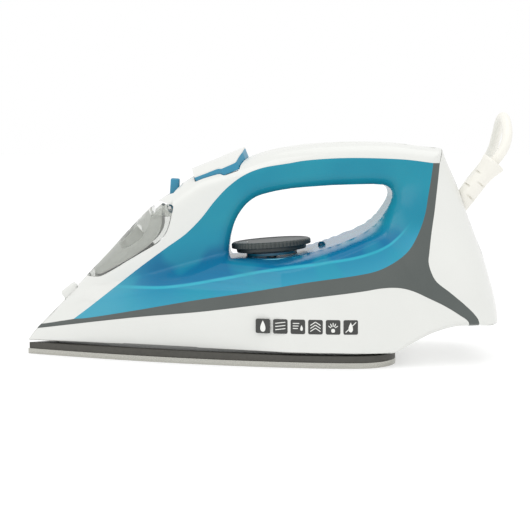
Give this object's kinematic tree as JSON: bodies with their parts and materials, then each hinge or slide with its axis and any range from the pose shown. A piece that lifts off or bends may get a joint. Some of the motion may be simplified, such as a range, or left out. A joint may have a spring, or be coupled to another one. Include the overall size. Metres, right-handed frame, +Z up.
{
  "type": "steam iron",
  "caption": "Steam iron with a flat pointed soleplate, a closed loop handle over a clear water tank, a turning heat dial, pump buttons, a steam lever and a lidded filler.",
  "frame": {"origin": "middle of the iron's plan box, on the flat ironing face, the lead, its coil and its plug left out", "axes": "-X towards the nose, +X towards the heel and the lead, +Z up from the ironing face"},
  "size_m": [0.3092, 0.209, 0.153],
  "materials": {
    "polished_sole": "brushed",
    "dark_heat_plastic": "matt moulded",
    "cast_aluminium": "as cast",
    "element_steel": "heat-tinted",
    "silicone": "soft",
    "plate_steel": "satin",
    "white_shell": "gloss moulded",
    "grey_trim": "satin moulded",
    "blue_clear": "translucent gloss",
    "well_grey": "gloss moulded",
    "smoke_clear": "clear moulded plastic",
    "blue_solid": "gloss moulded",
    "black_rubber": "moulded",
    "natural_plastic": "moulded",
    "dial_grey": "satin moulded, ribbed rim",
    "ceramic_white": "unglazed",
    "lamp_lens": "clear moulded",
    "guard_white": "moulded soft PVC",
    "cord_white": "extruded PVC",
    "pin_brass": "plated"
  },
  "bodies": {
    "root": {"soleplate": "polished_sole", "heat_skirt": "dark_heat_plastic", "heater_casting": "cast_aluminium", "heating_element": "element_steel", "chamber_gasket": "silicone", "steam_chamber_cover": "plate_steel", "lower_body": "white_shell", "trim_band": "grey_trim", "water_tank": "blue_clear", "handle_grip": "blue_clear", "upper_shell": "white_shell", "rear_cover": "white_shell", "filler_well": "well_grey", "filler_inlet": "well_grey", "lid_hinge_pin": "plate_steel", "spray_nozzle": "white_shell", "spray_tube": "silicone", "steam_tube": "silicone", "rod_seal": "black_rubber", "valve_seat": "black_rubber", "spray_spring": "plate_steel", "steam_spring": "plate_steel", "spray_pump": "natural_plastic", "steam_pump": "natural_plastic", "dial_bezel": "blue_solid", "thermostat": "ceramic_white", "thermal_fuse": "ceramic_white", "pilot_lens": "lamp_lens", "pilot_lamp": "lamp_lens", "terminal_block": "natural_plastic", "cord_clamp": "natural_plastic", "cord_socket": "natural_plastic", "casting_screws": "plate_steel", "cover_screws": "plate_steel", "lead_wires": "silicone", "mains_cord": "cord_white", "cord_coil": "cord_white", "coil_tie": "black_rubber", "mains_plug": "cord_white", "plug_pins": "pin_brass"},
    "dial": {"temperature_dial": "dial_grey", "dial_shaft": "plate_steel"},
    "lever": {"steam_lever": "blue_solid"},
    "valve": {"valve_rod": "plate_steel"},
    "spray": {"spray_button": "blue_solid", "spray_piston": "natural_plastic"},
    "burst": {"steam_button": "blue_solid", "steam_piston": "natural_plastic"},
    "lid": {"filler_lid": "smoke_clear"},
    "guard": {"cord_guard": "guard_white"}
  },
  "joints": [
    {"name": "dial_turn", "type": "hinge", "parent": "root", "child": "dial", "pos_m": [0.0074, 0, 0.0658], "axis": [-0.0732, 0, 0.9973], "range_deg": [-140, 140]},
    {"name": "lever_swing", "type": "hinge", "parent": "root", "child": "lever", "pos_m": [-0.042, 0, 0.09], "axis": [0, 0, 1], "range_deg": [-25, 25]},
    {"name": "valve_lift", "type": "slide", "parent": "root", "child": "valve", "axis": [0, 0, 1], "range_m": [-0.0015, 0.0015]},
    {"name": "spray_press", "type": "slide", "parent": "root", "child": "spray", "axis": [0.3746, 0, -0.9272], "range_m": [0, 0.003], "stiffness_N_per_m": 600, "springref_m": -0.003, "deforming": ["spray_spring"]},
    {"name": "burst_press", "type": "slide", "parent": "root", "child": "burst", "axis": [0.3746, 0, -0.9272], "range_m": [0, 0.003], "stiffness_N_per_m": 600, "springref_m": -0.003, "deforming": ["steam_spring"]},
    {"name": "lid_open", "type": "hinge", "parent": "root", "child": "lid", "pos_m": [-0.0555, 0, 0.0936], "axis": [0, 1, 0], "range_deg": [0, 60]},
    {"name": "guard_spin", "type": "hinge", "parent": "root", "child": "guard", "pos_m": [0.1175, 0, 0.0848], "axis": [0.6293, 0, 0.7771], "range_deg": [-90, 90]}
  ],
  "couplings": [
    {"joint": "lever_swing", "follows": "valve_lift", "rad_per_m": 290.89}
  ]
}
